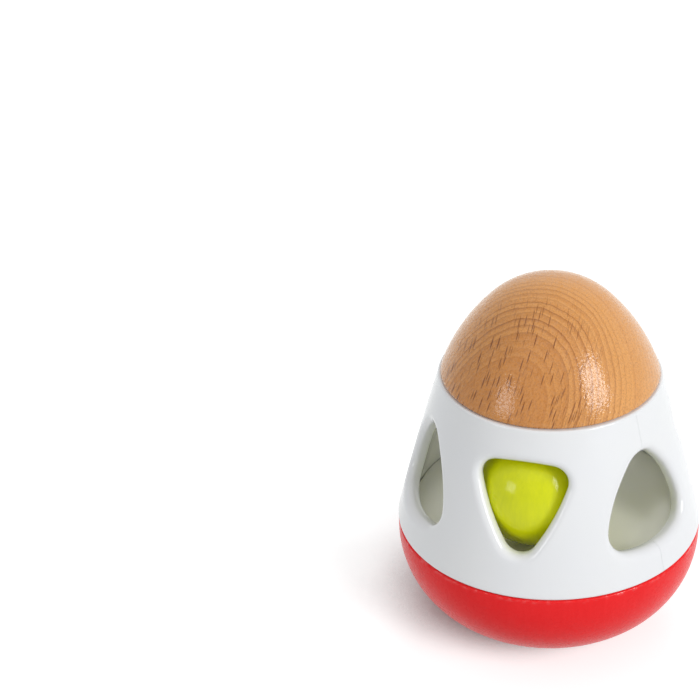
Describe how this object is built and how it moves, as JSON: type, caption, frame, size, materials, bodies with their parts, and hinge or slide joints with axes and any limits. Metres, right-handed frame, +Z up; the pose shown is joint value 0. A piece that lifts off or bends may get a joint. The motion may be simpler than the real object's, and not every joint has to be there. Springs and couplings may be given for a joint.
{
  "type": "bell rattle",
  "caption": "Egg-shaped baby rattle: wooden cap, windowed white shell and weighted red bowl around a loose green ball that holds a jingle bell.",
  "frame": {"origin": "centre of the flat foot under the bowl, on the surface that the rattle stands on", "axes": "+Z up along the egg's axis; the two shell halves meet on the plane Y = 0, and the shell's front half faces -Y"},
  "size_m": [0.075, 0.075, 0.0947],
  "materials": {
    "beech": "clear satin lacquer",
    "red_paint": "gloss paint on turned wood",
    "white_shell": "glossy moulded",
    "green_paint": "satin paint on turned wood",
    "steel": "plain zinc-plated",
    "brass": "polished sheet"
  },
  "bodies": {
    "egg": {"wood_cap": "beech", "crown_disc": "white_shell", "cap_screw_1": "steel", "cap_screw_2": "steel", "cap_screw_3": "steel", "shell_front": "white_shell", "shell_rear": "white_shell", "floor_disc": "white_shell", "base_screw_1": "steel", "base_screw_2": "steel", "base_screw_3": "steel", "ballast_disc": "steel", "base_bowl": "red_paint"},
    "ball": {"ball_upper": "green_paint", "ball_lower": "green_paint"},
    "bell": {"bell_upper": "brass", "bell_lower": "brass"},
    "pellet": {"bell_pellet": "steel"}
  },
  "joints": [
    {"name": "ball_roll", "type": "slide", "parent": "egg", "child": "ball", "axis": [-0.5, 0.866, 0], "range_m": [0, 0.029]},
    {"name": "bell_roll", "type": "hinge", "parent": "ball", "child": "bell", "pos_m": [0.00765, -0.01325, 0.04723], "axis": [1, 0, 0], "continuous": true},
    {"name": "pellet_roll", "type": "hinge", "parent": "bell", "child": "pellet", "pos_m": [0.00765, -0.01325, 0.04348], "axis": [0, 1, 0], "continuous": true}
  ]
}
